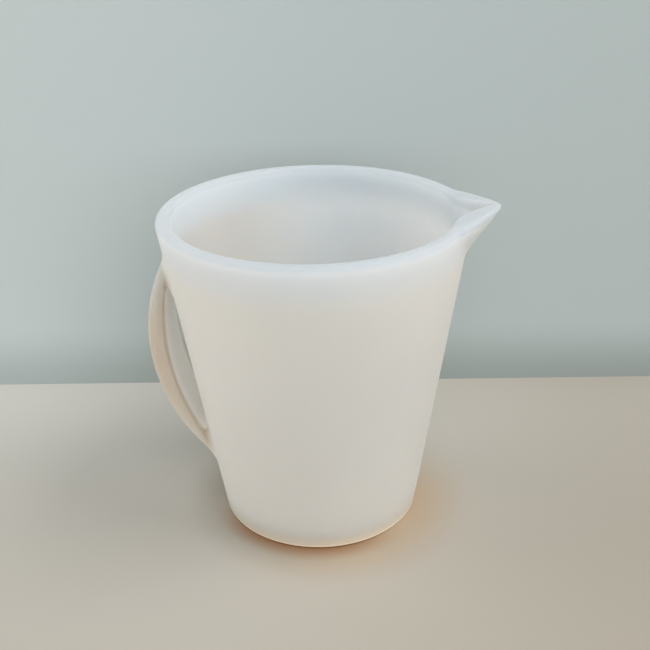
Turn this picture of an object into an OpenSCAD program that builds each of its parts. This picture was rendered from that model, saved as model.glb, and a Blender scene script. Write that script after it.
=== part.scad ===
// Resin mixing cup: a one-piece silicone moulding with a pointed pouring
// spout and a wide strap handle opposite it.
// The cup's axis is Z and its base rests on Z = 0. The spout points along +X
// and the handle along -X. Each region of the moulding is a module of its
// own, and neighbouring regions meet face to face.

/* [Cup] */
// Outer diameter of the rim
rim_d = 90.4; // [84:0.2:110]
// Outer diameter where the wall's line reaches the table
base_d = 60.6; // [54:0.2:72]
// Height of the rim above the table
cup_h = 96.5; // [90:0.5:115]
// Thickness of the conical wall, measured level
wall_t = 4; // [3:0.1:5]
// Thickness of the floor
floor_t = 4; // [2.5:0.1:6]
// Radius of the outer corner under the wall
foot_r = 1; // [0.6:0.1:2.6]
// Radius of the inner corner between floor and wall
floor_fillet_r = 6; // [3:0.5:10]

/* [Rim] */
// Height of the lip's band, down from the rim
lip_h = 6; // [4:0.5:10]
// Rounding of the lip's outer edge
lip_outer_r = 1.5; // [0.8:0.1:2]
// Rounding of the lip's inner edge
lip_inner_r = 1.2; // [0.6:0.1:1.6]

/* [Spout] */
// Reach of the spout's tip past the rim
spout_reach = 8.6; // [5:0.1:12]
// Rise of the spout's tip above the rim
spout_rise = 2; // [0:0.1:3]
// Height over which the spout grows out of the wall, up to the rim
spout_h = 13.5; // [10:0.5:20]
// Angle from the spout's middle to where its flanks leave the rim
spout_half_angle = 31; // [20:1:36]
// Angle from the spout's middle to where the pouring channel leaves the bore
channel_half_angle = 18; // [12:1:24]
// Thickness of the spout's lip at its tip, measured level
spout_tip_t = 3.4; // [3:0.1:4.5]
// Rounding of the lip's edges at the spout's tip
spout_edge_r = 1; // [0.4:0.1:1.2]

/* [Handle] */
// Width of the strap, across the handle
handle_w = 20; // [14:0.5:26]
// Thickness of the strap at its middle
handle_t = 5; // [3.5:0.1:5.4]
// Reach of the strap's outer face from the wall
handle_reach = 10.5; // [9.6:0.1:18]
// Drop from the rim to where the strap's outer face leaves the wall
handle_drop = 13; // [12.5:0.5:20]
// Height at which the strap's outer face comes back to the wall
handle_bottom_z = 20.5; // [14:0.5:26]
// Depth of the strap's upper root where it meets the wall
upper_root_d = 5.5; // [3:0.5:8]
// Depth of the strap's lower root where it meets the wall
lower_root_d = 4; // [3:0.5:8]

/* [Hidden] */
$fn = 96;

rim_r = rim_d / 2;
base_r = base_d / 2;
wall_slope = (rim_r - base_r) / cup_h;
wall_angle = atan(wall_slope);

// Steps along a rounded corner, and steps round and up the spout
corner_steps = 6;
spout_steps = 32;
spout_rows = 12;

// The spout's region is a sector of the wall, cut by two upright planes and
// one level plane. The first power draws the flanks in plan and the second
// the channel's sides, which curve in more.
flank_power = 1.25;
channel_power = 2.3;
tip_softness = 0.8;
keel_softness = 0.04;
foot_spread = 0.1;
spout_foot_z = cup_h - spout_h;
tip_r = rim_r + spout_reach;
tip_z = cup_h + spout_rise;
tip_growth = tip_r - outer_r(tip_z);
channel_growth = tip_r - spout_tip_t - inner_r(tip_z);

// The strap's two faces are arcs over chords that lie on the wall's line,
// and each root takes in this much of the strap past the gap's end
root_reach = 7;
gap_reach = handle_reach - handle_t;
handle_top_z = cup_h - handle_drop;
upper_cut_z = handle_top_z - upper_root_d - root_reach;
lower_cut_z = handle_bottom_z + lower_root_d + root_reach;

lip_foot_z = cup_h - lip_h;

// Radii of the plain cone at a height
function outer_r(z) = base_r + wall_slope * z;
function inner_r(z) = outer_r(z) - wall_t;

// Points of a round corner between two directions
function arc_points(centre, r, from, to, steps) = [
    for (i = [0 : steps])
        let (a = from + (to - from) * i / steps)
        centre + r * [cos(a), sin(a)]
];

// Round corner under the wall, tangent to the table and to the wall's line
function foot_corner() =
    let (centre_r = outer_r(foot_r) - foot_r / cos(wall_angle))
    arc_points([centre_r, foot_r], foot_r, -90, -wall_angle, corner_steps);

// Round corner inside, tangent to the floor and to the wall's inner line
function inner_corner() =
    let (centre_z = floor_t + floor_fillet_r)
    let (centre_r = inner_r(centre_z) - floor_fillet_r / cos(wall_angle))
    arc_points([centre_r, centre_z], floor_fillet_r, -wall_angle, -90, corner_steps);

// Section of the lip's crest from the outer side over to the inner side.
// Each side is a line that ends at the crest's height with the given radius
// and lean from upright.
function crest_points(top_z, side_r, side_lean, side_round,
                      bore_r, bore_lean, bore_round) =
    let (outer_centre_r = side_r - side_round * tan(side_lean)
                          - side_round / cos(side_lean))
    let (inner_centre_r = bore_r - bore_round * tan(bore_lean)
                          + bore_round / cos(bore_lean))
    concat(
        arc_points([outer_centre_r, top_z - side_round], side_round,
                   -side_lean, 90, corner_steps),
        arc_points([inner_centre_r, top_z - bore_round], bore_round,
                   90, 180 - bore_lean, corner_steps)
    );

// Height of a point in the spout's region, as a share from its foot to its tip
function climb(z) = max(z - spout_foot_z, 0) / (tip_z - spout_foot_z);

// Share of the full growth at a height: a straight ramp with a soft start
function ramp(share) =
    (share < keel_softness ? share * share / (2 * keel_softness) : share - keel_softness / 2)
    / (1 - keel_softness / 2);

// Angle from the spout's middle, eased near zero so that the tip is rounded
function eased(azimuth) = sqrt(azimuth * azimuth + tip_softness * tip_softness) - tip_softness;

// Share of the growth at an azimuth, from 1 in the middle to 0 at the edge
function swell(azimuth, half_angle, power) =
    pow(max(1 - eased(azimuth) / eased(half_angle), 0), power);

// Share of a flank's full angle at a height: the spout narrows to its foot
function spread(z) = foot_spread + (1 - foot_spread) * min(climb(z), 1);

// Outer radius of the spout's region, and the radius of its channel
function spout_outer_r(azimuth, z) =
    outer_r(z)
    + tip_growth * ramp(climb(z)) * swell(azimuth, spout_half_angle * spread(z), flank_power);
function spout_inner_r(azimuth, z) =
    inner_r(z)
    + channel_growth * ramp(climb(z)) * swell(azimuth, channel_half_angle * spread(z), channel_power);

// Closed section of the spout's region at an azimuth, as radius and height
function spout_section(azimuth) =
    let (share = swell(azimuth, spout_half_angle, flank_power))
    let (top_z = cup_h + spout_rise * share)
    let (side_round = lip_outer_r + (spout_edge_r - lip_outer_r) * share)
    let (bore_round = lip_inner_r + (spout_edge_r - lip_inner_r) * share)
    let (side_r = spout_outer_r(azimuth, top_z))
    let (bore_r = spout_inner_r(azimuth, top_z))
    let (side_lean = atan((side_r - spout_outer_r(azimuth, top_z - side_round)) / side_round))
    let (bore_lean = atan((bore_r - spout_inner_r(azimuth, top_z - bore_round)) / bore_round))
    let (side_end_z = top_z - side_round * (1 + sin(side_lean)))
    let (bore_end_z = top_z - bore_round * (1 - sin(bore_lean)))
    concat(
        [for (i = [0 : spout_rows - 1])
            let (z = spout_foot_z + (side_end_z - spout_foot_z) * i / spout_rows)
            [spout_outer_r(azimuth, z), z]],
        crest_points(top_z, side_r, side_lean, side_round, bore_r, bore_lean, bore_round),
        [for (i = [spout_rows - 1 : -1 : 0])
            let (z = spout_foot_z + (bore_end_z - spout_foot_z) * i / spout_rows)
            [spout_inner_r(azimuth, z), z]]
    );

// Centre and radius of an arc that bulges from the wall's line between two
// heights, as [centre, radius]
function bow(from_z, to_z, reach) =
    let (from = [outer_r(from_z), from_z])
    let (to = [outer_r(to_z), to_z])
    let (half_chord = norm(to - from) / 2)
    let (radius = (half_chord * half_chord + reach * reach) / (2 * reach))
    let (outward = [cos(wall_angle), -sin(wall_angle)])
    [(from + to) / 2 + (reach - radius) * outward, radius];

// Floor disc with its rounded outer corner
module cup_floor() {
    color([0.84, 0.82, 0.77])
        rotate_extrude()
            polygon(concat(
                [[0, 0]],
                foot_corner(),
                [[outer_r(floor_t), floor_t], [0, floor_t]]
            ));
}

// Sector of the moulding that belongs to the spout
module spout_sector() {
    far = 2 * rim_r;
    translate([0, 0, spout_foot_z])
        linear_extrude(cup_h)
            polygon([
                [0, 0],
                far * [cos(spout_half_angle), -sin(spout_half_angle)],
                far * [cos(spout_half_angle), sin(spout_half_angle)]
            ]);
}

// Conical wall from the floor to the lip, with the fillet at its foot, open
// at the spout's sector
module cup_wall() {
    color([0.87, 0.86, 0.82])
        difference() {
            rotate_extrude()
                polygon(concat(
                    [
                        [outer_r(floor_t), floor_t],
                        [outer_r(lip_foot_z), lip_foot_z],
                        [inner_r(lip_foot_z), lip_foot_z]
                    ],
                    inner_corner()
                ));
            spout_sector();
        }
}

// Rounded lip that closes the wall's top edge
module rim_lip() {
    color([0.88, 0.90, 0.92])
        difference() {
            rotate_extrude()
                polygon(concat(
                    [
                        [inner_r(lip_foot_z), lip_foot_z],
                        [outer_r(lip_foot_z), lip_foot_z]
                    ],
                    crest_points(cup_h, rim_r, wall_angle, lip_outer_r,
                                 inner_r(cup_h), wall_angle, lip_inner_r)
                ));
            spout_sector();
        }
}

// Pointed spout with its channel: sections round the axis, joined in order
module pour_spout() {
    sections = [
        for (j = [0 : spout_steps])
            let (azimuth = spout_half_angle * (2 * j / spout_steps - 1))
            [for (p = spout_section(azimuth)) [p[0] * cos(azimuth), p[0] * sin(azimuth), p[1]]]
    ];
    ring = len(sections[0]);
    side_faces = [
        for (j = [0 : spout_steps - 1], i = [0 : ring - 1])
            let (k = (i + 1) % ring)
            for (face = [[j * ring + i, j * ring + k, (j + 1) * ring + k],
                         [j * ring + i, (j + 1) * ring + k, (j + 1) * ring + i]])
                face
    ];
    first_end = [for (i = [ring - 1 : -1 : 0]) i];
    last_end = [for (i = [0 : ring - 1]) spout_steps * ring + i];
    color([0.90, 0.92, 0.94])
        polyhedron(
            points = [for (section = sections) for (p = section) p],
            faces = concat(side_faces, [first_end, last_end])
        );
}

// Strap between two heights, before it is trimmed to the wall
module strap(from_z, to_z) {
    outer_bow = bow(handle_bottom_z, handle_top_z, handle_reach);
    inner_bow = bow(handle_bottom_z + lower_root_d, handle_top_z - upper_root_d, gap_reach);
    rotate([90, 0, 180])
        linear_extrude(handle_w, center = true)
            intersection() {
                difference() {
                    translate(outer_bow[0]) circle(outer_bow[1]);
                    translate(inner_bow[0]) circle(inner_bow[1]);
                }
                translate([0, from_z]) square([tip_r + handle_reach, to_z - from_z]);
            }
}

// Solid inside the wall's outer face, which the roots are trimmed to
module cup_cone() {
    cylinder(h = cup_h, r1 = base_r, r2 = rim_r);
}

// Bow of the strap between its two roots
module handle_grip() {
    color([0.84, 0.79, 0.70])
        strap(lower_cut_z, upper_cut_z);
}

// Upper end of the strap, where it runs into the wall under the rim
module upper_handle_root() {
    color([0.83, 0.79, 0.72])
        difference() {
            strap(upper_cut_z, cup_h);
            cup_cone();
        }
}

// Lower end of the strap, where it runs into the wall above the foot
module lower_handle_root() {
    color([0.83, 0.76, 0.66])
        difference() {
            strap(0, lower_cut_z);
            cup_cone();
        }
}

cup_floor();
cup_wall();
rim_lip();
pour_spout();
handle_grip();
upper_handle_root();
lower_handle_root();
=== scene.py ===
"""Resin mixing cup: milky silicone with a pointed pouring spout and a strap handle.

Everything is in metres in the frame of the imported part: the cup's axis is Z, its base
rests on Z = 0, the spout points along +X and the handle along -X.
"""
import logging
import math
from dataclasses import dataclass, field
from enum import Enum
from typing import Any

import bmesh
import bpy
import numpy as np
from mathutils import Matrix, Vector
from mathutils.kdtree import KDTree


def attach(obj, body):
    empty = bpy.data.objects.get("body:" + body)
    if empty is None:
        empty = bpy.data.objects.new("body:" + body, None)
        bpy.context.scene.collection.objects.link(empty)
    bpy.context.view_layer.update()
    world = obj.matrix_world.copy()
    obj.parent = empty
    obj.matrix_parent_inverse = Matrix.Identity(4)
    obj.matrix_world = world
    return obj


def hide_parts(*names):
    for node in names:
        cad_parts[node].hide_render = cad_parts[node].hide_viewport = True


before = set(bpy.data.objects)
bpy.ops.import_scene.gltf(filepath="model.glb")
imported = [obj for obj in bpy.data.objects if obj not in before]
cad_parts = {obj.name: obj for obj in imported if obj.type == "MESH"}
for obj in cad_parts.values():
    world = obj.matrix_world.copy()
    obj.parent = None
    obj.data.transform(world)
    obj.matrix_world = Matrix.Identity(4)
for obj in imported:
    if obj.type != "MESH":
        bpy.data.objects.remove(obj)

log = logging.getLogger("mixing_cup")

MM = 0.001
ML = 1e-6


class Slot(Enum):
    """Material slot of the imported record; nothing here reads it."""

    CUP = "cup_silicone"


class Root(Enum):
    """The two ends of the strap: 1 where its outer face meets the wall above its inner face."""

    UPPER = 1
    LOWER = -1


class Graph:
    """A node tree that is filled by one method."""

    def __init__(self, tree: bpy.types.NodeTree) -> None:
        """Empties the tree that it is to fill."""
        self.tree = tree
        tree.nodes.clear()

    def add(
        self,
        kind: str,
        settings: dict[str, Any] | None = None,
        sockets: dict[str | int, Any] | None = None,
    ) -> bpy.types.Node:
        """Adds one node.

        Args:
            kind: The node's type.
            settings: Its properties, which are set first.
            sockets: Values, terms or sockets for its inputs, by name or index.

        Returns:
            The node.
        """
        node = self.tree.nodes.new(kind)
        for name, value in (settings or {}).items():
            setattr(node, name, value)
        for name, value in (sockets or {}).items():
            self.join(value, node.inputs[name])
        return node

    def join(self, value: Any, socket: bpy.types.NodeSocket) -> None:
        """Links a term, a socket or each of several to an input, or sets its value.

        Args:
            value: What the input takes.
            socket: The input.
        """
        if isinstance(value, Term):
            self.tree.links.new(value.socket, socket)
        elif isinstance(value, bpy.types.NodeSocket):
            self.tree.links.new(value, socket)
        elif isinstance(value, list):
            for one in value:
                self.join(one, socket)
        else:
            socket.default_value = value

    def mix(self, share: "Number", first: Any, second: Any) -> bpy.types.NodeSocket:
        """Mixes two colours.

        Args:
            share: Share of the second colour.
            first: First colour or socket.
            second: Second colour or socket.

        Returns:
            The mixed colour's socket.
        """
        # The node's colour inputs are numbers 6 and 7, and its colour output is number 2.
        sockets = {"Factor": share, 6: first, 7: second}
        return self.add("ShaderNodeMix", {"data_type": "RGBA"}, sockets).outputs[2]

    def place(self) -> tuple[bpy.types.NodeSocket, "Term", "Term", "Term"]:
        """Reads the place on the piece.

        Returns:
            The place as a vector, and its three axes.
        """
        place = self.add("ShaderNodeTexCoord").outputs["Object"]
        axes = self.add("ShaderNodeSeparateXYZ", sockets={"Vector": place}).outputs
        return place, Term(self, axes[0]), Term(self, axes[1]), Term(self, axes[2])

    def noise(self, place: bpy.types.NodeSocket, scale: float, detail: float) -> "Term":
        """Adds a noise pattern.

        Args:
            place: The place on the piece.
            scale: Waves for each metre.
            detail: Finer layers on top.

        Returns:
            Its level from 0 to 1.
        """
        sockets = {"Vector": place, "Scale": scale, "Detail": detail, "Roughness": 0.55}
        return Term(self, self.add("ShaderNodeTexNoise", sockets=sockets).outputs[0])


class Term:
    """A socket that stands for its value in Python expressions."""

    def __init__(self, graph: Graph, socket: bpy.types.NodeSocket) -> None:
        """Wraps a socket of a graph."""
        self.graph = graph
        self.socket = socket

    def _math(self, operation: str, *values: "Number") -> "Term":
        """Adds a Math node and returns its result."""
        node = self.graph.add("ShaderNodeMath", {"operation": operation}, dict(enumerate(values)))
        return Term(self.graph, node.outputs[0])

    def __add__(self, other: "Number") -> "Term":
        """Sum."""
        return self._math("ADD", self, other)

    __radd__ = __add__

    def __sub__(self, other: "Number") -> "Term":
        """Difference."""
        return self._math("SUBTRACT", self, other)

    def __rsub__(self, other: "Number") -> "Term":
        """Difference from a plain number."""
        return self._math("SUBTRACT", other, self)

    def __mul__(self, other: "Number") -> "Term":
        """Product."""
        return self._math("MULTIPLY", self, other)

    __rmul__ = __mul__

    def __truediv__(self, other: "Number") -> "Term":
        """Quotient."""
        return self._math("DIVIDE", self, other)

    def __rtruediv__(self, other: "Number") -> "Term":
        """Quotient of a plain number."""
        return self._math("DIVIDE", other, self)

    def __pow__(self, other: "Number") -> "Term":
        """Power."""
        return self._math("POWER", self, other)

    def __neg__(self) -> "Term":
        """Negative."""
        return self._math("MULTIPLY", self, -1.0)

    def at_least(self, other: "Number") -> "Term":
        """The larger of this and another value."""
        return self._math("MAXIMUM", self, other)

    def at_most(self, other: "Number") -> "Term":
        """The smaller of this and another value."""
        return self._math("MINIMUM", self, other)

    def sine(self) -> "Term":
        """Sine of an angle in radians."""
        return self._math("SINE", self)

    def cosine(self) -> "Term":
        """Cosine of an angle in radians."""
        return self._math("COSINE", self)

    def tangent(self) -> "Term":
        """Tangent of an angle in radians."""
        return self._math("TANGENT", self)

    def arc_tangent(self) -> "Term":
        """Angle in radians with this tangent."""
        return self._math("ARCTANGENT", self)

    def root(self) -> "Term":
        """Square root."""
        return self._math("SQRT", self)

    def ease(self, start: float, stop: float) -> "Term":
        """Soft step from 0 at start to 1 at stop.

        Args:
            start: Value at which the step begins.
            stop: Value at which it is complete. It may be below start.

        Returns:
            The step.
        """
        share = ((self - start) / (stop - start)).at_least(0.0).at_most(1.0)
        return share * share * (3.0 - 2.0 * share)


Number = float | Term


def linear(red: int, green: int, blue: int) -> tuple[float, float, float, float]:
    """Turns a screen colour into the linear colour that a shader takes.

    Args:
        red: Red from 0 to 255.
        green: Green from 0 to 255.
        blue: Blue from 0 to 255.

    Returns:
        The linear colour with full alpha.
    """

    def one(level: int) -> float:
        """One channel."""
        share = level / 255
        return share / 12.92 if share <= 0.04045 else ((share + 0.055) / 1.055) ** 2.4

    return one(red), one(green), one(blue), 1.0


def make_object(name: str, mesh: bpy.types.Mesh) -> bpy.types.Object:
    """Links a mesh to the scene as an object at the origin.

    Args:
        name: The object's name.
        mesh: Its mesh.

    Returns:
        The object.
    """
    piece = bpy.data.objects.new(name, mesh)
    bpy.context.scene.collection.objects.link(piece)
    return piece


def heading(angle: float) -> np.ndarray:
    """Unit vector in a plane at an angle."""
    return np.array([math.cos(angle), math.sin(angle)])


def unit_rows(rows: np.ndarray) -> np.ndarray:
    """Vectors, one in each row, scaled to length 1."""
    return rows / np.linalg.norm(rows, axis=1)[:, None]


def start_material(name: str) -> tuple[bpy.types.Material, Graph]:
    """Makes a material with an empty node tree.

    Args:
        name: The material's name.

    Returns:
        The material and the graph that fills its tree.
    """
    material = bpy.data.materials.new(name)
    material.use_nodes = True
    return material, Graph(material.node_tree)


@dataclass(frozen=True)
class SiliconeFinish:
    """Milky silicone: light wanders through it, with painted cool light at the rim and painted warm
    light below.

    A band is the pair of places between which a tint fades in, from none to all of it.
    """

    name: str = "milky_silicone"
    body: tuple = linear(213, 208, 202)
    # Painted cool light: the outer lip's bluish tint where the rim catches the sky.
    lip: tuple = linear(207, 211, 215)
    # Painted light inside the cup, and painted shade on the bore's left side.
    inside: tuple = linear(252, 249, 246)
    inside_left_shade: tuple = linear(190, 189, 188)
    # Painted cool light on the rim's inner side.
    inner_rim_light: tuple = linear(194, 204, 212)
    # Painted shade that dims the highlight on the lip's crest.
    crest: tuple = linear(178, 186, 194)
    # Painted warm bounce light, growing towards the foot.
    foot: tuple = linear(223, 214, 203)
    # Painted warm light at the foot's edge, and a painted highlight on its rounding.
    edge: tuple = linear(221, 211, 193)
    lit_edge: tuple = linear(255, 245, 222)
    # Painted light on the strap: cool grey light at its top, warm light through the thin strap.
    strap_top: tuple = linear(180, 183, 179)
    strap: tuple = linear(189, 177, 166)
    # Painted shade on the outer part of the strap's sides.
    strap_outside_shade: tuple = linear(170, 157, 144)
    # Painted light on the strap's outer and inner faces.
    strap_back_light: tuple = linear(238, 229, 215)
    strap_inside_light: tuple = linear(254, 250, 243)
    # Painted shade: a dark line where the strap's sides meet its inner face.
    crease_shade: tuple = linear(174, 165, 155)
    cloud: tuple = linear(196, 194, 190)
    roughness: float = 0.55
    roughness_swing: float = 0.12
    scatter_depth: float = 0.03
    bump_strength: float = 0.12
    bump_depth: float = 0.15 * MM
    grain_share: float = 0.3
    cloud_share: float = 0.06
    cloud_levels: tuple = (0.35, 0.75)
    foot_share: float = 0.9
    # Heights above the table.
    foot_band: tuple = (60 * MM, 2 * MM)
    edge_band: tuple = (6 * MM, 1.5 * MM)
    lit_band: tuple = (1.6 * MM, 0.6 * MM)
    floor_band: tuple = (9 * MM, 4.5 * MM)
    strap_top_band: tuple = (62 * MM, 86 * MM)
    # Depths below the rim.
    lip_band: tuple = (15 * MM, 4 * MM)
    crest_band: tuple = (2 * MM, 0.5 * MM)
    # Distances out from the wall's outer face.
    inside_band: tuple = (-1.5 * MM, -3 * MM)
    strap_band: tuple = (0.1 * MM, 1.8 * MM)
    # Places along X.
    inside_left_band: tuple = (12 * MM, -32 * MM)
    # Distances from the axis towards the handle.
    handle_band: tuple = (20 * MM, 34 * MM)
    # Distances out from the arc of the strap's inner face.
    strap_outside_band: tuple = (1.5 * MM, 5 * MM)
    strap_back_band: tuple = (2 * MM, 3.5 * MM)
    strap_inside_band: tuple = (0.5 * MM, 0.1 * MM)
    crease_shade_band: tuple = (0.45 * MM, 0.1 * MM)
    # Distances in from the strap's long edges.
    near_edge_band: tuple = (4 * MM, 0.9 * MM)
    off_edge_band: tuple = (1 * MM, 2 * MM)

    def build(self, cup: "CupShell", strap: "StrapHandle") -> bpy.types.Material:
        """Makes the material.

        Args:
            cup: The cup whose height and slope place the tints.
            strap: The strap whose inner arc and width place its own tints.

        Returns:
            The material.
        """
        material, graph = start_material(self.name)
        place, x, y, z = graph.place()
        waves = graph.noise(place, scale=70.0, detail=2.0)
        grain = graph.noise(place, scale=900.0, detail=2.0)
        bump = graph.add(
            "ShaderNodeBump",
            sockets={
                "Strength": self.bump_strength,
                "Distance": self.bump_depth,
                "Height": grain * self.grain_share + waves,
            },
        )
        from_wall = (x * x + y * y).root() - (z * cup.slope + cup.base_radius)
        tint = self._cup_tint(graph, cup, from_wall, x, z)
        tint = self._strap_tint(graph, strap, tint, from_wall, x, y, z)
        pattern = graph.noise(place, scale=55.0, detail=3.0)
        clouds = pattern.ease(*self.cloud_levels) * self.cloud_share
        surface = {
            "Base Color": graph.mix(clouds, tint, self.cloud),
            "Roughness": self.roughness + (waves - 0.5) * self.roughness_swing,
            "IOR": 1.41,
            "Specular IOR Level": 0.3,
            "Normal": bump.outputs["Normal"],
        }
        scattering = {
            "Subsurface Weight": 1.0,
            "Subsurface Radius": (1.0, 0.85, 0.7),
            "Subsurface Scale": self.scatter_depth,
            "Subsurface Anisotropy": 0.6,
        }
        principled = "ShaderNodeBsdfPrincipled"
        milky = graph.add(principled, {"subsurface_method": "RANDOM_WALK"}, surface | scattering)
        dense = graph.add(principled, sockets=surface)
        at_floor = self._within(from_wall) * z.ease(*self.floor_band)
        blend = graph.add(
            "ShaderNodeMixShader",
            sockets={
                0: self._at_foot(z).at_least(at_floor),
                1: milky.outputs["BSDF"],
                2: dense.outputs["BSDF"],
            },
        )
        graph.add("ShaderNodeOutputMaterial", sockets={"Surface": blend.outputs[0]})
        return material

    def _at_foot(self, z: Term) -> Term:
        """Share of the foot, where wandering light would be lost through the underside."""
        return z.ease(*self.edge_band)

    def _within(self, from_wall: Term) -> Term:
        """Share of the faces inside the cup."""
        return from_wall.ease(*self.inside_band)

    def _cup_tint(
        self, graph: Graph, cup: "CupShell", from_wall: Term, x: Term, z: Term
    ) -> bpy.types.NodeSocket:
        """Colour of the cup: painted cool light at its rim, painted shade on its crest, painted
        warm light and a painted highlight at its foot, and painted light inside, shaded on the
        left.

        Args:
            graph: The tree.
            cup: The cup.
            from_wall: Distance out from the wall's outer face.
            x: Place along the handle and spout.
            z: Height.

        Returns:
            The colour.
        """
        within = self._within(from_wall)
        # Painted warm bounce light towards the foot.
        foot = z.ease(*self.foot_band) * self.foot_share
        tint = graph.mix(foot, self.body, self.foot)
        # Painted light inside the cup, shaded on the bore's left side.
        left = x.ease(*self.inside_left_band)
        inside = graph.mix(left, self.inside, self.inside_left_shade)
        tint = graph.mix(within, tint, inside)
        # Painted cool light on the lip and on the rim's inner side.
        rim = graph.mix(within, self.lip, self.inner_rim_light)
        at_lip = z.ease(cup.height - self.lip_band[0], cup.height - self.lip_band[1])
        tint = graph.mix(at_lip, tint, rim)
        # Painted shade over the highlight on the lip's crest.
        at_crest = z.ease(cup.height - self.crest_band[0], cup.height - self.crest_band[1])
        tint = graph.mix(at_crest, tint, self.crest)
        # Painted warm light at the foot's edge, then a painted highlight on its rounding.
        tint = graph.mix(self._at_foot(z) * (1.0 - within), tint, self.edge)
        return graph.mix(z.ease(*self.lit_band), tint, self.lit_edge)

    def _strap_tint(
        self,
        graph: Graph,
        strap: "StrapHandle",
        tint: bpy.types.NodeSocket,
        from_wall: Term,
        x: Term,
        y: Term,
        z: Term,
    ) -> bpy.types.NodeSocket:
        """Colour of the strap, all painted light and shade: painted warm light through it, greyer
        for painted light at its top, painted light on its outer and inner faces.

        Its near and far sides carry painted shade, darkest in a painted dark line where they meet
        the inner face.

        Args:
            graph: The tree.
            strap: The strap.
            tint: Colour of the cup.
            from_wall: Distance out from the wall's outer face.
            x: Place along the handle and spout.
            y: Place across the strap.
            z: Height.

        Returns:
            The colour of the whole moulding.
        """
        share = from_wall.ease(*self.strap_band) * (-x).ease(*self.handle_band)
        centre, radius = strap.inner_arc()
        sideways = x + centre[0]
        upward = z - centre[1]
        depth = (sideways * sideways + upward * upward).root() - radius
        # Painted shade on the outer part of the strap's sides, over its painted warm light.
        outside = depth.ease(*self.strap_outside_band)
        colour = graph.mix(outside, self.strap, self.strap_outside_shade)
        # Painted cool grey light on the strap's top.
        colour = graph.mix(z.ease(*self.strap_top_band), colour, self.strap_top)
        across = y.at_least(-y)
        half = strap.width / 2
        near_edge = across.ease(half - self.near_edge_band[0], half - self.near_edge_band[1])
        off_edge = across.ease(half - self.off_edge_band[0], half - self.off_edge_band[1])
        # Painted light on the strap's outer face.
        outer_face = depth.ease(*self.strap_back_band) * off_edge
        colour = graph.mix(outer_face, colour, self.strap_back_light)
        # Painted shade in a dark line where the strap's sides meet its inner face.
        crease_shade = depth.ease(*self.crease_shade_band) * near_edge
        colour = graph.mix(crease_shade, colour, self.crease_shade)
        # Painted light on the strap's inner face.
        inner_face = depth.ease(*self.strap_inside_band) * (1.0 - near_edge)
        colour = graph.mix(inner_face, colour, self.strap_inside_light)
        return graph.mix(share, tint, colour)


@dataclass(frozen=True)
class TableFinish:
    """Matt pale table with painted light and shade: darker towards the front and the right, warm
    light before and beside the cup's foot with a contact shadow at its front, a shadow to its left.
    """

    name: str = "pale_table"
    # Painted shade: the table darkens from back to front and towards the right.
    far: tuple = linear(201, 198, 191)
    near: tuple = linear(183, 177, 166)
    dim_shade: tuple = linear(165, 156, 142)
    # Painted warm light beside the foot, for light that passed through the silicone.
    warm: tuple = linear(180, 158, 131)
    # Painted contact shadow before the foot, warmed by painted light through the silicone.
    glow: tuple = linear(150, 113, 82)
    shade: tuple = linear(140, 128, 108)
    near_band: tuple = (75 * MM, -110 * MM)
    dim_band: tuple = (-50 * MM, 120 * MM)
    dim_share: float = 0.7
    contact: float = 30.0 * MM
    contact_overlap: float = 1.0 * MM
    warm_reach: float = 22.0 * MM
    warm_share: float = 0.8
    shade_reach: float = 16.0 * MM
    shade_share: float = 0.45
    glow_reach: float = 7.0 * MM
    # Directions on the table, and cosines between which a tint fades in towards them.
    to_front: tuple = (-0.17, -0.98)
    to_right: tuple = (0.77, -0.64)
    to_left: tuple = (-0.8, -0.6)
    front_band: tuple = (0.4, 0.95)
    right_band: tuple = (0.0, 0.9)
    left_band: tuple = (0.1, 0.8)

    def build(self) -> bpy.types.Material:
        """Makes the material.

        Returns:
            The material.
        """
        material, graph = start_material(self.name)
        place, x, y, _ = graph.place()
        # Painted shade towards the front and towards the right.
        colour = graph.mix(y.ease(*self.near_band), self.far, self.near)
        colour = graph.mix(x.ease(*self.dim_band) * self.dim_share, colour, self.dim_shade)
        away = (x * x + y * y).root()

        def facing(direction: tuple) -> Term:
            """Cosine of the angle at the cup's axis between a place and a direction."""
            return (x * direction[0] + y * direction[1]) / away

        in_front = facing(self.to_front).ease(*self.front_band)
        on_right = facing(self.to_right).ease(*self.right_band)
        on_left = facing(self.to_left).ease(*self.left_band)
        # Painted warm light to the right of the foot.
        halo = away.ease(self.contact + self.warm_reach, self.contact)
        colour = graph.mix(halo * on_right * self.warm_share, colour, self.warm)
        shadow = away.ease(self.contact + self.shade_reach, self.contact)
        colour = graph.mix(shadow * on_left * self.shade_share, colour, self.shade)
        # Painted contact shadow round the foot's front, warmed by painted light through the
        # silicone.
        ring_start = self.contact + self.glow_reach
        ring = away.ease(ring_start, self.contact - self.contact_overlap)
        colour = graph.mix(ring * in_front, colour, self.glow)
        shader = graph.add(
            "ShaderNodeBsdfPrincipled",
            sockets={
                "Base Color": colour,
                "Roughness": graph.noise(place, scale=60.0, detail=3.0) * 0.1 + 0.85,
                "Specular IOR Level": 0.1,
            },
        )
        graph.add("ShaderNodeOutputMaterial", sockets={"Surface": shader.outputs["BSDF"]})
        return material


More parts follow.
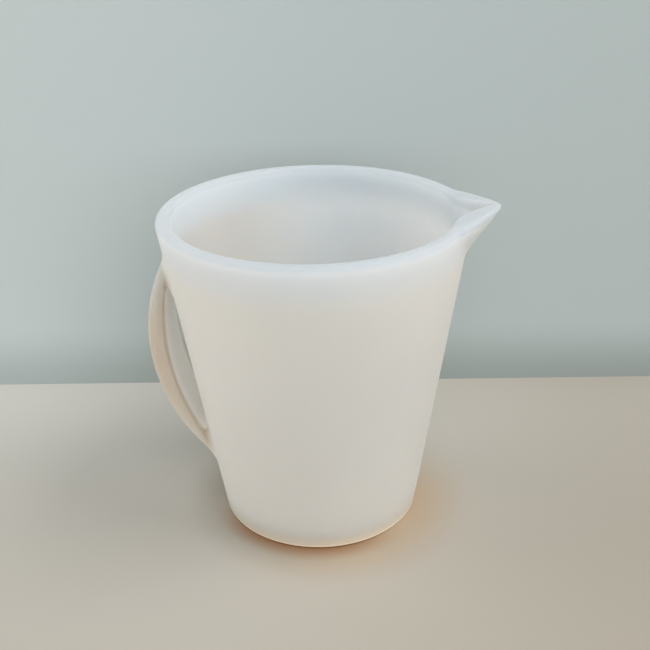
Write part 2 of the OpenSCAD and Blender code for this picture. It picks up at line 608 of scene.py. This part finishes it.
@dataclass(frozen=True)
class BackdropFinish:
    """Matt grey-green sheet with painted shade to the right and at its foot, clear from behind."""

    name: str = "soft_backdrop"
    left: tuple = linear(201, 211, 211)
    # Painted shade: darker to the right, and a painted corner shadow at the sheet's foot.
    right: tuple = linear(183, 194, 194)
    foot: tuple = linear(156, 165, 162)
    foot_height: float = 26.0 * MM
    left_foot_share: float = 0.6
    reach: float = 150.0 * MM

    def build(self) -> bpy.types.Material:
        """Makes the material.

        Returns:
            The material.
        """
        material, graph = start_material(self.name)
        _, x, _, z = graph.place()
        # Painted shade to the right, and a painted corner shadow at the sheet's foot.
        rightward = x.ease(-self.reach, self.reach)
        foot_share = rightward * (1 - self.left_foot_share) + self.left_foot_share
        low = z.ease(self.foot_height, 0.0) * foot_share
        colour = graph.mix(rightward, self.left, self.right)
        colour = graph.mix(low, colour, self.foot)
        sheet = graph.add(
            "ShaderNodeBsdfPrincipled",
            sockets={"Base Color": colour, "Roughness": 0.9, "Specular IOR Level": 0.1},
        )
        behind = graph.add("ShaderNodeNewGeometry").outputs["Backfacing"]
        clear = graph.add("ShaderNodeBsdfTransparent").outputs["BSDF"]
        surface = graph.add(
            "ShaderNodeMixShader", sockets={0: behind, 1: sheet.outputs["BSDF"], 2: clear}
        )
        graph.add("ShaderNodeOutputMaterial", sockets={"Surface": surface.outputs[0]})
        return material


@dataclass
class CupShell:
    """The cup without its handle: floor, conical wall, rounded lip and spout."""

    rim_radius: float = 45.2 * MM
    base_radius: float = 30.3 * MM
    height: float = 96.5 * MM
    wall: float = 4.0 * MM
    floor: float = 4.0 * MM
    foot_rounding: float = 1.0 * MM
    floor_fillet: float = 6.0 * MM
    outer_rounding: float = 1.5 * MM
    inner_rounding: float = 1.2 * MM
    spout_reach: float = 8.6 * MM
    spout_rise: float = 2.0 * MM
    spout_height: float = 13.5 * MM
    spout_half_angle: float = math.radians(31)
    channel_half_angle: float = math.radians(18)
    tip_thickness: float = 3.4 * MM
    tip_rounding: float = 1.0 * MM
    tip_softness: float = math.radians(0.8)
    keel_softness: float = 0.04
    foot_spread: float = 0.1
    flank_power: float = 1.25
    channel_power: float = 2.3
    columns: int = 320
    crowding: float = 0.6
    flat_rows: int = 8
    foot_rows: int = 8
    wall_rows: int = 96
    lip_rows: int = 7
    crest_rows: int = 2
    bore_rows: int = 64
    fillet_rows: int = 10
    seam_power: float = 12.0
    merge_distance: float = 0.002 * MM

    @property
    def slope(self) -> float:
        """Growth of the radius for each unit of height."""
        return (self.rim_radius - self.base_radius) / self.height

    @property
    def lean(self) -> float:
        """Angle of the wall from upright."""
        return math.atan(self.slope)

    @property
    def foot_end(self) -> float:
        """Height at which the foot's rounding meets the wall."""
        return self.foot_rounding * (1 - math.sin(self.lean))

    @property
    def rim_start(self) -> float:
        """Height at which the plain wall meets the lip's rounding."""
        return self.height - self.outer_rounding * (1 + math.sin(self.lean))

    def azimuth(self, column: int) -> float:
        """Azimuth of a column of vertices, crowded at the spout and at the handle."""
        across = 2 * column / self.columns - 1
        return math.pi * across - self.crowding / 2 * math.sin(2 * math.pi * across)

    def row_height(self, row: int) -> float:
        """Height of a row of vertices on the plain outer wall."""
        return self.foot_end + (self.rim_start - self.foot_end) * row / self.wall_rows

    def wall_point(self, column: int, row: int) -> Vector:
        """Finds a vertex of the plain outer wall.

        Args:
            column: Its column, counted round from the middle of the handle's side.
            row: Its row, counted from the foot.

        Returns:
            Its place.
        """
        height = self.row_height(row)
        radius = self.base_radius + self.slope * height
        turn = self.azimuth(column)
        return Vector((radius * math.cos(turn), radius * math.sin(turn), height))

    def build(self, material: bpy.types.Material) -> bpy.types.Mesh:
        """Makes the closed shell with Geometry Nodes.

        Args:
            material: The finish of its faces.

        Returns:
            A plain mesh.
        """
        return ShellTree(self).evaluate(material)


class ShellTree:
    """Geometry Nodes tree that turns a section round the axis and swells it at the spout."""

    SIZES = (
        "Rim Radius",
        "Base Radius",
        "Height",
        "Wall",
        "Floor",
        "Foot Rounding",
        "Floor Fillet",
        "Outer Rounding",
        "Inner Rounding",
        "Spout Reach",
        "Spout Rise",
        "Spout Height",
        "Spout Half Angle",
        "Channel Half Angle",
        "Tip Thickness",
        "Tip Rounding",
        "Tip Softness",
    )

    def __init__(self, cup: CupShell) -> None:
        """Builds the tree.

        Args:
            cup: The sizes, which go in through the tree's named inputs.
        """
        self.cup = cup
        self.tree = bpy.data.node_groups.new("cup_shell", "GeometryNodeTree")
        self.graph = Graph(self.tree)
        interface = self.tree.interface
        self.identifiers = {}
        kinds = dict.fromkeys(self.SIZES, "Float") | {"Columns": "Int", "Material": "Material"}
        for label, kind in kinds.items():
            item = interface.new_socket(
                name=label, in_out="INPUT", socket_type=f"NodeSocket{kind}"
            )
            self.identifiers[label] = item.identifier
        interface.new_socket(name="Shell", in_out="OUTPUT", socket_type="NodeSocketGeometry")
        self.given = self.graph.add("NodeGroupInput").outputs
        for label in self.SIZES:
            setattr(self, self._field(label), Term(self.graph, self.given[label]))
        self._measure()
        self._assemble()

    @staticmethod
    def _field(label: str) -> str:
        """Name of the size that goes in through an input."""
        return label.lower().replace(" ", "_")

    def _measure(self) -> None:
        """Sets out the fields that the patches share."""
        graph = self.graph
        position = graph.add("GeometryNodeInputPosition").outputs[0]
        axes = graph.add("ShaderNodeSeparateXYZ", sockets={"Vector": position})
        # Each band is a grid from -1 to 1 across and from -0.5 to 0.5 along the section.
        across = Term(graph, axes.outputs["X"])
        self.along = Term(graph, axes.outputs["Y"]) + 0.5
        crowd = (across * (2 * math.pi)).sine() * (self.cup.crowding / 2)
        self.turn = across * math.pi - crowd
        self.away = self.turn.at_least(-self.turn)
        self.slope = (self.rim_radius - self.base_radius) / self.height
        self.lean = self.slope.arc_tangent()
        self.spout_foot = self.height - self.spout_height
        self.tip_height = self.height + self.spout_rise
        tip_radius = self.rim_radius + self.spout_reach
        self.tip_growth = tip_radius - self.outer_radius(self.tip_height)
        self.channel_growth = tip_radius - self.tip_thickness - self.inner_radius(self.tip_height)

    def outer_radius(self, height: Number) -> Term:
        """Radius of the plain outer cone at a height."""
        return self.base_radius + self.slope * height

    def inner_radius(self, height: Number) -> Term:
        """Radius of the plain bore at a height."""
        return self.outer_radius(height) - self.wall

    def climb(self, height: Number) -> Term:
        """Share of the way from the spout's foot to its tip."""
        return (height - self.spout_foot).at_least(0.0) / (self.tip_height - self.spout_foot)

    def ramp(self, share: Term) -> Term:
        """Straight ramp with a soft start.

        Args:
            share: Share of the climb.

        Returns:
            Share of the growth, 0 at the spout's foot and 1 at its tip.
        """
        soft = self.cup.keel_softness
        started = share.at_most(soft)
        return (started * started / (2 * soft) + (share - soft).at_least(0.0)) / (1 - soft / 2)

    def eased(self, angle: Term) -> Term:
        """Angle from the spout's middle, eased near zero."""
        soft = self.tip_softness
        return (angle * angle + soft * soft).root() - soft

    def swell(self, half_angle: Term, power: float) -> Term:
        """Share of the growth, 1 in the spout's middle and 0 past its edge."""
        return (1.0 - self.eased(self.away) / self.eased(half_angle)).at_least(0.0) ** power

    def spread(self, height: Number) -> Term:
        """Share of the flanks' full angle at a height."""
        low = self.cup.foot_spread
        return self.climb(height).at_most(1.0) * (1 - low) + low

    def side_radius(self, height: Number) -> Term:
        """Outer radius with the spout's growth."""
        share = self.swell(self.spout_half_angle * self.spread(height), self.cup.flank_power)
        return self.outer_radius(height) + self.tip_growth * self.ramp(self.climb(height)) * share

    def bore_radius(self, height: Number) -> Term:
        """Inner radius with the channel's growth.

        Args:
            height: Height as a field.

        Returns:
            The radius as a field.
        """
        share = self.swell(self.channel_half_angle * self.spread(height), self.cup.channel_power)
        growth = self.channel_growth * self.ramp(self.climb(height)) * share
        return self.inner_radius(height) + growth

    def patch(self, rows: int, radius: Number, height: Number) -> bpy.types.NodeSocket:
        """One band of the section turned round the axis.

        Args:
            rows: Steps along the section.
            radius: Radius as a field.
            height: Height as a field.

        Returns:
            The band's geometry.
        """
        grid = self.graph.add(
            "GeometryNodeMeshGrid",
            sockets={
                "Size X": 2.0,
                "Size Y": 1.0,
                "Vertices X": self.given["Columns"],
                "Vertices Y": rows + 1,
            },
        )
        place = self.graph.add(
            "ShaderNodeCombineXYZ",
            sockets={"X": self.turn.cosine() * radius, "Y": self.turn.sine() * radius, "Z": height},
        )
        moved = self.graph.add(
            "GeometryNodeSetPosition",
            sockets={"Geometry": grid.outputs["Mesh"], "Position": place.outputs[0]},
        )
        return moved.outputs[0]

    def _bands(self) -> list[bpy.types.NodeSocket]:
        """Makes the section's bands.

        The wall's last rows lean over to the lip's roundings, so that the bands meet.

        Returns:
            Each band, from the underside's middle up, over the lip and down to the floor.
        """
        cup = self.cup
        quarter = math.pi / 2
        along = self.along
        lean = self.lean
        foot = self.foot_rounding
        foot_radius = self.outer_radius(foot) - foot / lean.cosine()
        foot_turn = (quarter - lean) * along - quarter
        foot_end = foot * (1.0 - lean.sine())

        share = self.swell(self.spout_half_angle, cup.flank_power)
        top = self.height + self.spout_rise * share
        side_round = self.outer_rounding + (self.tip_rounding - self.outer_rounding) * share
        bore_round = self.inner_rounding + (self.tip_rounding - self.inner_rounding) * share
        side = self.side_radius(top)
        bore = self.bore_radius(top)
        side_lean = ((side - self.side_radius(top - side_round)) / side_round).arc_tangent()
        bore_lean = ((bore - self.bore_radius(top - bore_round)) / bore_round).arc_tangent()
        side_centre = side - side_round * side_lean.tangent() - side_round / side_lean.cosine()
        bore_centre = bore - bore_round * bore_lean.tangent() + bore_round / bore_lean.cosine()
        side_end = top - side_round * (side_lean.sine() + 1.0)
        bore_end = top - bore_round * (1.0 - bore_lean.sine())
        side_step = side_centre + side_round * side_lean.cosine() - self.side_radius(side_end)
        bore_step = bore_centre - bore_round * bore_lean.cosine() - self.bore_radius(bore_end)
        side_turn = (side_lean + quarter) * along - side_lean
        bore_turn = (quarter - bore_lean) * along + quarter

        fillet = self.floor_fillet
        corner_height = self.floor + fillet
        corner_radius = self.inner_radius(corner_height) - fillet / lean.cosine()
        corner_start = corner_height - fillet * lean.sine()
        corner_turn = -lean - (quarter - lean) * along

        wall_height = foot_end + (side_end - foot_end) * along
        wall_radius = self.side_radius(wall_height) + side_step * along**cup.seam_power
        bore_height = bore_end + (corner_start - bore_end) * along
        bore_seam = bore_step * (1.0 - along) ** cup.seam_power
        inside_radius = self.bore_radius(bore_height) + bore_seam
        return [
            self.patch(cup.flat_rows, foot_radius * along, 0.0),
            self.patch(
                cup.foot_rows,
                foot_radius + foot * foot_turn.cosine(),
                foot + foot * foot_turn.sine(),
            ),
            self.patch(cup.wall_rows, wall_radius, wall_height),
            self.patch(
                cup.lip_rows,
                side_centre + side_round * side_turn.cosine(),
                top - side_round + side_round * side_turn.sine(),
            ),
            self.patch(cup.crest_rows, side_centre + (bore_centre - side_centre) * along, top),
            self.patch(
                cup.lip_rows,
                bore_centre + bore_round * bore_turn.cosine(),
                top - bore_round + bore_round * bore_turn.sine(),
            ),
            self.patch(cup.bore_rows, inside_radius, bore_height),
            self.patch(
                cup.fillet_rows,
                corner_radius + fillet * corner_turn.cosine(),
                corner_height + fillet * corner_turn.sine(),
            ),
            self.patch(cup.flat_rows, corner_radius * (1.0 - along), self.floor),
        ]

    def _assemble(self) -> None:
        """Joins the bands into one closed surface."""
        graph = self.graph
        joined = graph.add("GeometryNodeJoinGeometry", sockets={0: self._bands()})
        merged = graph.add(
            "GeometryNodeMergeByDistance",
            sockets={"Geometry": joined.outputs[0], "Distance": self.cup.merge_distance},
        )
        smooth = graph.add("GeometryNodeSetShadeSmooth", sockets={"Geometry": merged.outputs[0]})
        real = graph.add("GeometryNodeRealizeInstances", sockets={"Geometry": smooth.outputs[0]})
        dressed = graph.add(
            "GeometryNodeSetMaterial",
            sockets={"Geometry": real.outputs[0], "Material": self.given["Material"]},
        )
        graph.add("NodeGroupOutput", sockets={0: dressed.outputs[0]})

    def evaluate(self, material: bpy.types.Material) -> bpy.types.Mesh:
        """Runs the tree.

        Args:
            material: The finish of the faces.

        Returns:
            A plain mesh.
        """
        carrier = make_object("shell_carrier", bpy.data.meshes.new("shell_carrier"))
        modifier = carrier.modifiers.new("Cup shell", "NODES")
        modifier.node_group = self.tree
        for label in self.SIZES:
            modifier[self.identifiers[label]] = getattr(self.cup, self._field(label))
        modifier[self.identifiers["Columns"]] = self.cup.columns + 1
        modifier[self.identifiers["Material"]] = material
        depsgraph = bpy.context.evaluated_depsgraph_get()
        mesh = bpy.data.meshes.new_from_object(carrier.evaluated_get(depsgraph))
        carrier.modifiers.remove(modifier)
        bpy.data.objects.remove(carrier)
        return mesh


@dataclass
class StrapHandle:
    """The bow-shaped strap, which grows out of the wall through soft flares."""

    cup: CupShell
    width: float = 20.0 * MM
    thickness: float = 5.0 * MM
    reach: float = 10.5 * MM
    drop: float = 13.0 * MM
    bottom: float = 20.5 * MM
    upper_root: float = 5.5 * MM
    lower_root: float = 4.0 * MM
    edge_rounding: float = 1.1 * MM
    rounding_limit: float = 0.8
    outer_start: float = 2.6 * MM
    inner_start: float = 1.5 * MM
    flare_pull: float = 1.1
    turning_pull: float = 6.0 * MM
    rings: int = 52
    flare_rows: int = 9
    half_columns: int = 31
    side_rows: int = 15
    corner_steps: int = 3
    lowest_rows: dict[Root, int] = field(
        default_factory=lambda: {Root.UPPER: 74, Root.LOWER: 15}
    )

    @property
    def top(self) -> float:
        """Height at which the strap's outer face leaves the wall."""
        return self.cup.height - self.drop

    @property
    def outward(self) -> np.ndarray:
        """Direction square off the wall in side view."""
        return heading(-self.cup.lean)

    def _arc(self, low: float, high: float, reach: float) -> tuple[np.ndarray, float]:
        """Arc that bulges from the wall's line between two heights.

        Args:
            low: Height of its lower end.
            high: Height of its upper end.
            reach: How far it stands off the wall in its middle.

        Returns:
            Its centre, as distance from the axis and height, and its radius.
        """
        cup = self.cup
        ends = np.array([[cup.base_radius + cup.slope * z, z] for z in (low, high)])
        half_chord = np.linalg.norm(ends[1] - ends[0]) / 2
        radius = (half_chord**2 + reach**2) / (2 * reach)
        return ends.mean(axis=0) + (reach - radius) * self.outward, radius

    def outer_arc(self) -> tuple[np.ndarray, float]:
        """Arc of the strap's outer face."""
        return self._arc(self.bottom, self.top, self.reach)

    def inner_arc(self) -> tuple[np.ndarray, float]:
        """Arc of the strap's inner face."""
        low = self.bottom + self.lower_root
        return self._arc(low, self.top - self.upper_root, self.reach - self.thickness)

    def _face(self, arc: tuple[np.ndarray, float], reach: float, start: float) -> np.ndarray:
        """Points of one face of the strap in side view, from its upper end to its lower end.

        Args:
            arc: The face's arc.
            reach: How far it stands off the wall in its middle.
            start: Distance off the wall of the first and last point.

        Returns:
            One row of distance from the axis and height for each ring.
        """
        centre, radius = arc
        upward = heading(math.pi / 2 - self.cup.lean)
        swing = math.acos((start + radius - reach) / radius)
        angles = np.linspace(swing, -swing, self.rings)[:, None]
        return centre + radius * (np.cos(angles) * self.outward + np.sin(angles) * upward)

    def _section(self, half_thickness: float) -> np.ndarray:
        """Rounded section of the strap.

        Args:
            half_thickness: Half of its thickness.

        Returns:
            Points as width and thickness, from one outer corner round to it again.
        """
        rounding = min(self.edge_rounding, self.rounding_limit * half_thickness)
        wide = self.width / 2 - rounding
        thick = half_thickness - rounding
        corners = [(-wide, thick), (wide, thick), (wide, -thick), (-wide, -thick)]
        steps = self.corner_steps
        eighth = math.pi / 4
        points = []
        for side in range(4):
            normal = math.pi / 2 * (1 - side)
            first = np.array(corners[side])
            last = np.array(corners[(side + 1) % 4])
            count = (2 * self.half_columns if side % 2 == 0 else self.side_rows) - 2 * steps
            for i in range(steps):
                points.append(first + rounding * heading(normal + eighth * (1 - i / steps)))
            away = rounding * heading(normal)
            for i in range(count + 1):
                points.append(first + (last - first) * i / count + away)
            for i in range(1, steps):
                points.append(last + rounding * heading(normal - eighth * i / steps))
        return np.array(points)

    def rings_of_points(self) -> np.ndarray:
        """Sets out the strap between its flares.

        Returns:
            Its rings of points from the upper end down, as an array of ring, point and axis.
        """
        outer = self._face(self.outer_arc(), self.reach, self.outer_start)
        inner = self._face(self.inner_arc(), self.reach - self.thickness, self.inner_start)
        rings = []
        for far, near in zip(outer, inner):
            middle = (far + near) / 2
            across = (far - near) / np.linalg.norm(far - near)
            section = self._section(np.linalg.norm(far - near) / 2)
            flat = middle + section[:, 1:2] * across
            rings.append(np.column_stack([-flat[:, 0], section[:, 0], flat[:, 1]]))
        return np.array(rings)

    def footprint(self, root: Root) -> list[Vector]:
        """Finds the wall's vertices round a root.

        Args:
            root: Which end of the strap.

        Returns:
            Their places, in the order of the strap's section.
        """
        low = self.lowest_rows[root]
        high = low + self.side_rows
        reach = self.half_columns
        columns = [i % self.cup.columns for i in range(reach, -reach - 1, -1)]
        outer_row, inner_row = (high, low) if root is Root.UPPER else (low, high)
        step = -root.value
        places = [(column, outer_row) for column in columns[:-1]]
        places += [(columns[-1], row) for row in range(outer_row, inner_row, step)]
        places += [(column, inner_row) for column in columns[:0:-1]]
        places += [(columns[0], row) for row in range(inner_row, outer_row, -step)]
        return [self.cup.wall_point(column, row) for column, row in places]

    def flare(self, root: Root, rings: np.ndarray) -> np.ndarray:
        """Rows that lead from the wall into the strap, tangent to both.

        Args:
            root: Which end of the strap.
            rings: The strap's rings.

        Returns:
            Rows from the one next to the wall to the one next to the strap.
        """
        if root is Root.UPPER:
            ring, ahead = rings[0], rings[1]
        else:
            ring, ahead = rings[-1], rings[-2]
        wall = np.array([tuple(point) for point in self.footprint(root)])
        leaving = unit_rows(ahead - ring)
        normal = unit_rows(wall * np.array([1, 1, 0])) * math.cos(self.cup.lean)
        normal[:, 2] = -math.sin(self.cup.lean)
        gap = ring - wall
        reach = np.linalg.norm(gap, axis=1)[:, None]
        hugging = unit_rows(gap - (gap * normal).sum(axis=1)[:, None] * normal)
        turning = (1 - (hugging * leaving).sum(axis=1)[:, None]) / 2
        pull = reach * self.flare_pull + turning * self.turning_pull
        # Each row is a step along cubic curves that leave the wall and enter the strap.
        rows = []
        for i in range(1, self.flare_rows):
            s = i / self.flare_rows
            rows.append(
                (2 * s**3 - 3 * s**2 + 1) * wall
                + (s**3 - 2 * s**2 + s) * pull * hugging
                + (3 * s**2 - 2 * s**3) * ring
                + (s**3 - s**2) * pull * leaving
            )
        return np.array(rows)

    def graft(self, mesh: bpy.types.Mesh) -> None:
        """Opens the wall under each root and grows the strap out of it.

        Args:
            mesh: The shell's mesh, which gets the strap.
        """
        body = bmesh.new()
        body.from_mesh(mesh)
        loops = {}
        for root in Root:
            loops[root] = self._open_wall(body, root)
        rings = self.rings_of_points()
        chain = [loops[Root.UPPER]]
        rows = [*self.flare(Root.UPPER, rings), *rings, *self.flare(Root.LOWER, rings)[::-1]]
        for row in rows:
            chain.append([body.verts.new(tuple(point)) for point in row])
        chain.append(loops[Root.LOWER])
        count = len(chain[0])
        for first, second in zip(chain, chain[1:]):
            for i in range(count):
                k = (i + 1) % count
                face = body.faces.new((first[i], first[k], second[k], second[i]))
                face.smooth = True
        bmesh.ops.recalc_face_normals(body, faces=body.faces)
        open_edges = sum(not edge.is_manifold for edge in body.edges)
        volume = body.calc_volume(signed=True)
        log.info("cup_moulding: %d open edges, volume %.1f ml", open_edges, volume / ML)
        body.to_mesh(mesh)
        body.free()

    def _open_wall(self, body: bmesh.types.BMesh, root: Root) -> list[bmesh.types.BMVert]:
        """Removes the wall's faces under a root.

        Args:
            body: The shell.
            root: Which end of the strap.

        Returns:
            The vertices round the opening, in the order of the strap's section.
        """
        body.verts.ensure_lookup_table()
        finder = KDTree(len(body.verts))
        for vertex in body.verts:
            finder.insert(vertex.co, vertex.index)
        finder.balance()
        low = self.lowest_rows[root]
        inside = []
        for row in range(low + 1, low + self.side_rows):
            for step in range(1 - self.half_columns, self.half_columns):
                column = step % self.cup.columns
                inside.append(finder.find(self.cup.wall_point(column, row))[1])
        loop = [body.verts[finder.find(point)[1]] for point in self.footprint(root)]
        doomed = [body.verts[i] for i in set(inside)]
        bmesh.ops.delete(body, geom=doomed, context="VERTS")
        return loop


@dataclass
class MixingCup:
    """The whole moulding: the shell and the strap as one closed surface."""

    shell: CupShell = field(default_factory=CupShell)
    finish: SiliconeFinish = field(default_factory=SiliconeFinish)

    def build(self) -> bpy.types.Object:
        """Returns:
            The moulding.
        """
        strap = StrapHandle(self.shell)
        material = self.finish.build(self.shell, strap)
        mesh = self.shell.build(material)
        strap.graft(mesh)
        mesh.name = "cup_moulding"
        mesh.materials.clear()
        mesh.materials.append(material)
        mesh.polygons.foreach_set("material_index", [0] * len(mesh.polygons))
        piece = make_object("cup_moulding", mesh)
        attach(piece, "root")
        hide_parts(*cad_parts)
        log.info("cup_moulding: %d faces", len(mesh.polygons))
        return piece


@dataclass
class PhotoCamera:
    """Camera at the photograph's viewing angle."""

    eye: tuple = (27.27 * MM, -268.04 * MM, 188.8 * MM)
    yaw: float = math.radians(-5.28)
    pitch: float = math.radians(25.61)
    roll: float = math.radians(-1.29)
    focal_pixels: float = 991.5
    frame_pixels: float = 650.0
    sensor: float = 36.0

    def build(self) -> bpy.types.Object:
        """Makes the camera and sets it as the scene's.

        Returns:
            The camera.
        """
        data = bpy.data.cameras.new("photo_camera")
        data.sensor_width = self.sensor
        data.lens = self.focal_pixels / self.frame_pixels * self.sensor
        data.clip_start = 0.01
        data.clip_end = 20.0
        camera = bpy.data.objects.new("photo_camera", data)
        level = math.cos(self.pitch)
        forward = Vector(
            (math.sin(self.yaw) * level, math.cos(self.yaw) * level, -math.sin(self.pitch))
        )
        right = Vector((math.cos(self.yaw), -math.sin(self.yaw), 0))
        up = right.cross(forward)
        rolled_right = right * math.cos(self.roll) + up * math.sin(self.roll)
        rolled_up = up * math.cos(self.roll) - right * math.sin(self.roll)
        turn = Matrix((rolled_right, rolled_up, -forward)).transposed()
        camera.matrix_world = Matrix.Translation(self.eye) @ turn.to_4x4()
        bpy.context.scene.collection.objects.link(camera)
        bpy.context.scene.camera = camera
        return camera


@dataclass(frozen=True)
class Lamp:
    """Square soft lamp that faces the cup."""

    name: str
    place: tuple
    size: float
    power: float
    colour: tuple = (1.0, 1.0, 1.0)
    aim_height: float = 45.0 * MM

    def build(self) -> None:
        """Hangs the lamp and turns it towards the cup."""
        data = bpy.data.lights.new(self.name, "AREA")
        data.shape = "SQUARE"
        data.size = self.size
        data.energy = self.power
        data.color = self.colour
        lamp = bpy.data.objects.new(self.name, data)
        lamp.location = self.place
        towards = Vector((0, 0, self.aim_height)) - Vector(self.place)
        lamp.rotation_mode = "QUATERNION"
        lamp.rotation_quaternion = towards.to_track_quat("-Z", "Y")
        bpy.context.scene.collection.objects.link(lamp)


@dataclass
class Studio:
    """Pale table, grey-green backdrop and soft lamps."""

    backdrop_place: tuple = (0.0, 74.1 * MM)
    backdrop_turn: float = math.radians(4.16)
    half_width: float = 3.0
    backdrop_height: float = 1.2
    table_drop: float = 0.05 * MM
    sky: tuple = (0.97, 0.985, 1.0, 1.0)
    sky_strength: float = 0.55
    lamps: tuple = (
        Lamp("window", place=(0.85, -0.08, 1.3), size=0.8, power=10.0, colour=(1.0, 0.98, 0.97)),
        Lamp("front", place=(0.38, -1.15, 0.65), size=1.2, power=8.4),
        Lamp("left", place=(-1.2, 0.16, 0.4), size=0.7, power=4.4),
    )

    def build(self) -> None:
        """Builds the stage and the light."""
        self._table()
        self._backdrop()
        for lamp in self.lamps:
            lamp.build()
        self._world()

    def _table(self) -> None:
        """The table that the cup stands on, a hair below its underside."""
        reach = self.half_width
        ways = [(-1, -1), (1, -1), (1, 1), (-1, 1)]
        corners = [(reach * x, reach * y, -self.table_drop) for x, y in ways]
        self._sheet("table", corners, TableFinish())

    def _backdrop(self) -> None:
        """An upright sheet behind the cup, seen from its front only."""
        along = Vector((math.cos(self.backdrop_turn), math.sin(self.backdrop_turn), 0))
        middle = Vector((*self.backdrop_place, 0))
        left = middle - along * self.half_width
        right = middle + along * self.half_width
        up = Vector((0, 0, self.backdrop_height))
        sheet = self._sheet("backdrop", [left, right, right + up, left + up], BackdropFinish())
        sheet.visible_shadow = False

    @staticmethod
    def _sheet(
        name: str, corners: list, finish: TableFinish | BackdropFinish
    ) -> bpy.types.Object:
        """Makes one flat staged sheet.

        Args:
            name: Its name.
            corners: Its four corners.
            finish: Its finish.

        Returns:
            The object.
        """
        mesh = bpy.data.meshes.new(name)
        mesh.from_pydata([tuple(corner) for corner in corners], [], [(0, 1, 2, 3)])
        mesh.materials.append(finish.build())
        sheet = make_object(name, mesh)
        return sheet

    def _world(self) -> None:
        """Even light from all round."""
        world = bpy.data.worlds.new("soft_room")
        world.use_nodes = True
        graph = Graph(world.node_tree)
        light = graph.add(
            "ShaderNodeBackground", sockets={"Color": self.sky, "Strength": self.sky_strength}
        )
        graph.add("ShaderNodeOutputWorld", sockets={"Surface": light.outputs[0]})
        bpy.context.scene.world = world


def main() -> None:
    logging.basicConfig(level=logging.INFO, format="%(message)s")
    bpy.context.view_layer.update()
    PhotoCamera().build()
    MixingCup().build()
    Studio().build()
    bpy.context.scene.view_settings.view_transform = "Standard"
    bpy.context.view_layer.update()


if __name__ == "__main__":
    main()
